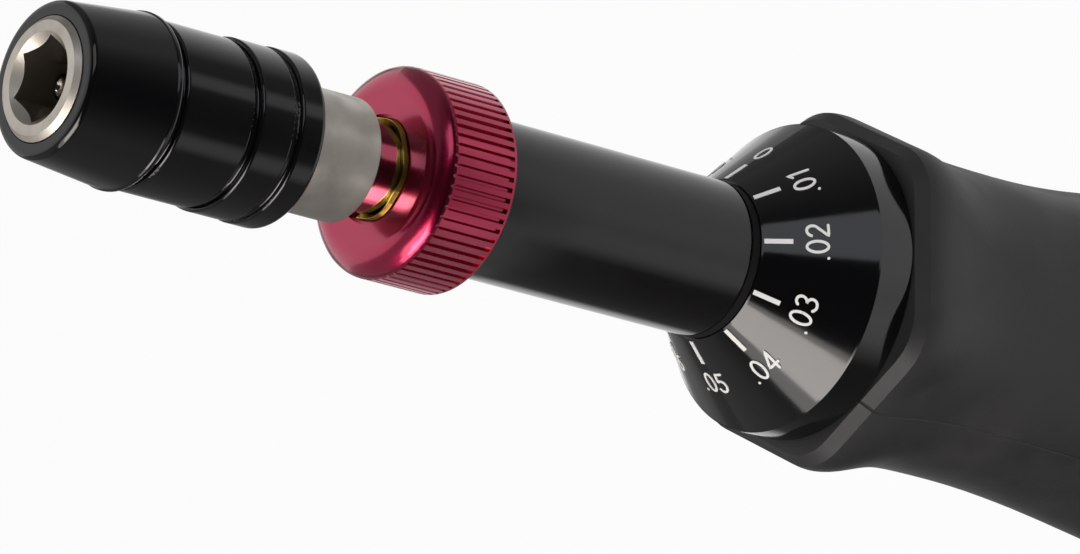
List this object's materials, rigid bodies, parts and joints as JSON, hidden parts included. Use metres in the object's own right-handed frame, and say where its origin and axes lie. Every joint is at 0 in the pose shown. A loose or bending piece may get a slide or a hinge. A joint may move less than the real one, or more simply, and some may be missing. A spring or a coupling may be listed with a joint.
{
  "type": "torque screwdriver",
  "caption": "Adjustable torque screwdriver with a six-sided grip, a marked dial cone, a knurled locking ring and a quick-change bit sleeve.",
  "frame": {"origin": "centre of the flat butt", "axes": "+Z along the tool's axis towards the bit socket, +X through the setting window and the dial's zero mark"},
  "size_m": [0.036, 0.0366, 0.186],
  "materials": {
    "steel": "fine turned nickel-plated steel",
    "black_sleeve": "gloss black anodised",
    "black_barrel": "satin black anodised",
    "black_dial": "gloss black anodised with white engraved scale",
    "red_ring": "bright red anodised",
    "polished_steel": "polished steel",
    "hard_steel": "ground hardened steel",
    "brass": "bright drawn wire",
    "bronze": "plain bearing bronze",
    "spring_steel": "oiled spring wire",
    "magnet": "nickel-plated magnet",
    "black_rubber": "matt moulded",
    "black_nylon": "glass-filled nylon"
  },
  "bodies": {
    "handle": {"grip": "black_rubber", "handle_core": "black_nylon", "dial": "black_dial", "friction_ring": "bronze", "setting_screw": "hard_steel", "screw_retainer": "hard_steel", "end_cap": "black_nylon", "thrust_ring": "bronze"},
    "barrel": {"barrel": "black_barrel", "front_hub": "polished_steel", "snap_ring": "brass", "barrel_circlip": "spring_steel", "seal_ring": "black_rubber", "thrust_washer": "bronze", "lock_spring": "spring_steel"},
    "lock": {"lock_ring": "red_ring", "lock_pin": "hard_steel", "drive_tube": "hard_steel"},
    "nut": {"setting_nut": "bronze", "main_spring": "spring_steel"},
    "plate": {"pressure_plate": "hard_steel"},
    "spindle": {"spindle": "steel", "drive_cam": "hard_steel", "cam_pin": "hard_steel", "bit_magnet": "magnet", "sleeve_spring": "spring_steel"},
    "sleeve": {"chuck_sleeve": "black_sleeve", "sleeve_cap": "black_sleeve"},
    "ball": {"detent_ball": "hard_steel"}
  },
  "joints": [
    {"name": "handle_turn", "type": "hinge", "parent": "handle", "child": "barrel", "pos_m": [0, 0, 0.1], "axis": [0, 0, -1], "range_deg": [0, 1800]},
    {"name": "nut_travel", "type": "slide", "parent": "barrel", "child": "nut", "axis": [0, 0, 1], "range_m": [0, 0.0075], "deforming": ["main_spring"]},
    {"name": "lock_slide", "type": "slide", "parent": "barrel", "child": "lock", "axis": [0, 0, -1], "range_m": [0, 0.002], "stiffness_N_per_m": 600, "springref_m": -0.003, "deforming": ["lock_spring"]},
    {"name": "spindle_slip", "type": "hinge", "parent": "barrel", "child": "spindle", "pos_m": [0, 0, 0.1], "axis": [0, 0, -1], "range_deg": [0, 54], "stiffness_Nm_per_rad": 0.02, "springref_deg": -57.3},
    {"name": "plate_lift", "type": "slide", "parent": "barrel", "child": "plate", "axis": [0, 0, -1], "range_m": [0, 0.00075]},
    {"name": "sleeve_slide", "type": "slide", "parent": "spindle", "child": "sleeve", "axis": [0, 0, -1], "range_m": [0, 0.003], "stiffness_N_per_m": 400, "springref_m": -0.004, "deforming": ["sleeve_spring"]},
    {"name": "ball_lift", "type": "slide", "parent": "spindle", "child": "ball", "axis": [0, 1, 0], "range_m": [0, 0.0004]}
  ],
  "couplings": [
    {"joint": "nut_travel", "follows": "handle_turn", "m_per_rad": 0.00023873},
    {"joint": "plate_lift", "follows": "spindle_slip", "m_per_rad": 0.00076394},
    {"joint": "ball_lift", "follows": "sleeve_slide", "ratio": 0.1333}
  ]
}
